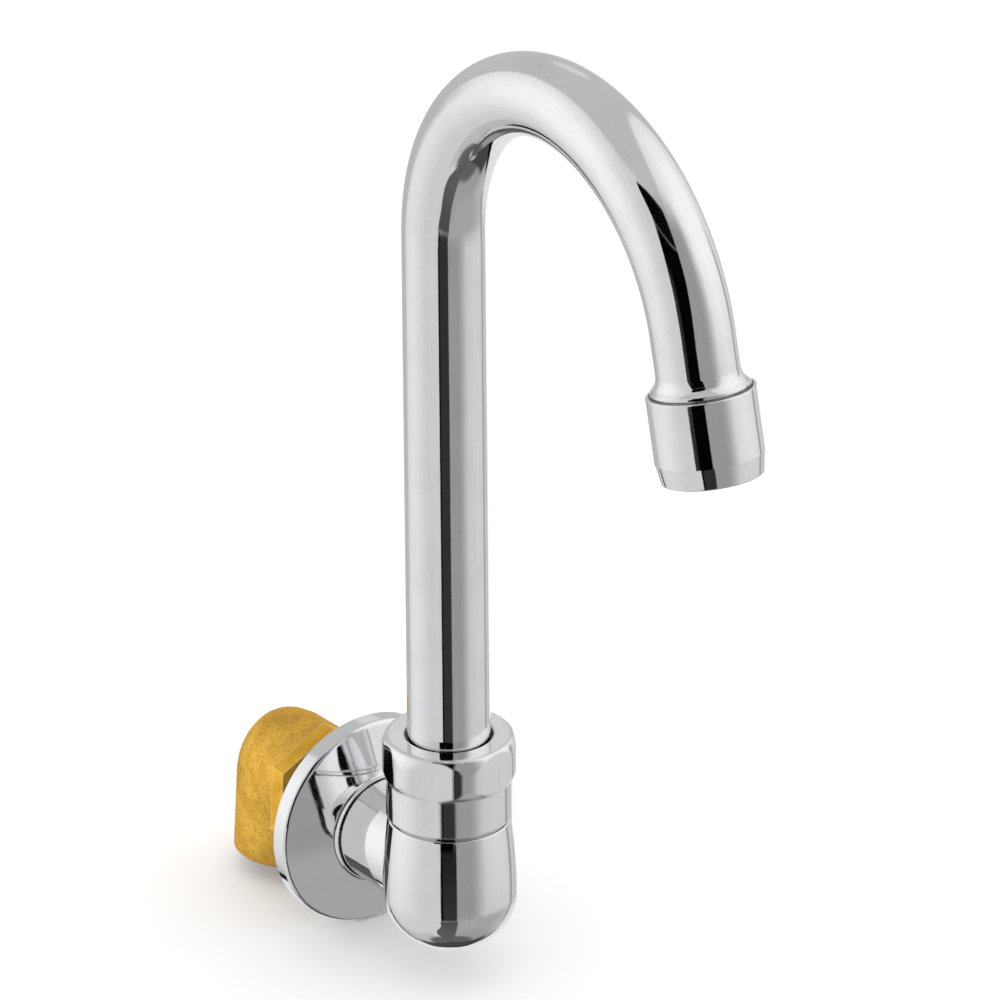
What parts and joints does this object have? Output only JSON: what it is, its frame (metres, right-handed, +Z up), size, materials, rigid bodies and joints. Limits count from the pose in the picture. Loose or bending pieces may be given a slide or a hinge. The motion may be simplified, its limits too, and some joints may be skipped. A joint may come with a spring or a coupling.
{
  "type": "gooseneck wall faucet",
  "caption": "Wall-mounted faucet: swivelling gooseneck spout with aerator on a rounded body, clamped through the wall between an escutcheon flange and a threaded supply elbow.",
  "frame": {"origin": "on the shank's axis in the plane of the wall face, where the flange and its gasket rest on the wall", "axes": "+Z up along the riser, -Y out of the wall towards the spout's outlet, +Y into the wall along the shank to the supply elbow, +X to the right of someone behind the wall looking at the outlet; the riser's axis is at x 0, y -0.0354"},
  "size_m": [0.05, 0.1925, 0.2434],
  "materials": {
    "polished_chrome": "polished chrome plate",
    "cast_brass": "raw sand-cast brass, machined on the collar",
    "turned_brass": "turned",
    "black_rubber": "moulded, matte",
    "white_acetal": "moulded, low friction",
    "grey_plastic": "moulded",
    "steel_mesh": "stainless"
  },
  "bodies": {
    "fixed": {"faucet_body": "polished_chrome", "packing_nut": "polished_chrome", "thrust_washer": "white_acetal", "escutcheon_flange": "polished_chrome", "escutcheon_gasket": "black_rubber", "supply_elbow": "cast_brass", "elbow_seal": "black_rubber"},
    "spout": {"gooseneck_tube": "polished_chrome", "swivel_ferrule": "turned_brass", "ferrule_o_ring_upper": "black_rubber", "ferrule_o_ring_lower": "black_rubber", "glide_ring": "white_acetal", "outlet_adapter": "polished_chrome", "aerator_shell": "polished_chrome", "aerator_washer": "black_rubber", "aerator_housing": "grey_plastic", "inlet_screen": "steel_mesh", "flow_restrictor": "grey_plastic", "mixing_cup": "grey_plastic", "outlet_screens": "steel_mesh"}
  },
  "joints": [
    {"name": "spout_swivel", "type": "hinge", "parent": "fixed", "child": "spout", "pos_m": [0, -0.0354, 0.03], "axis": [0, 0, 1], "range_deg": [-100, 100]}
  ]
}
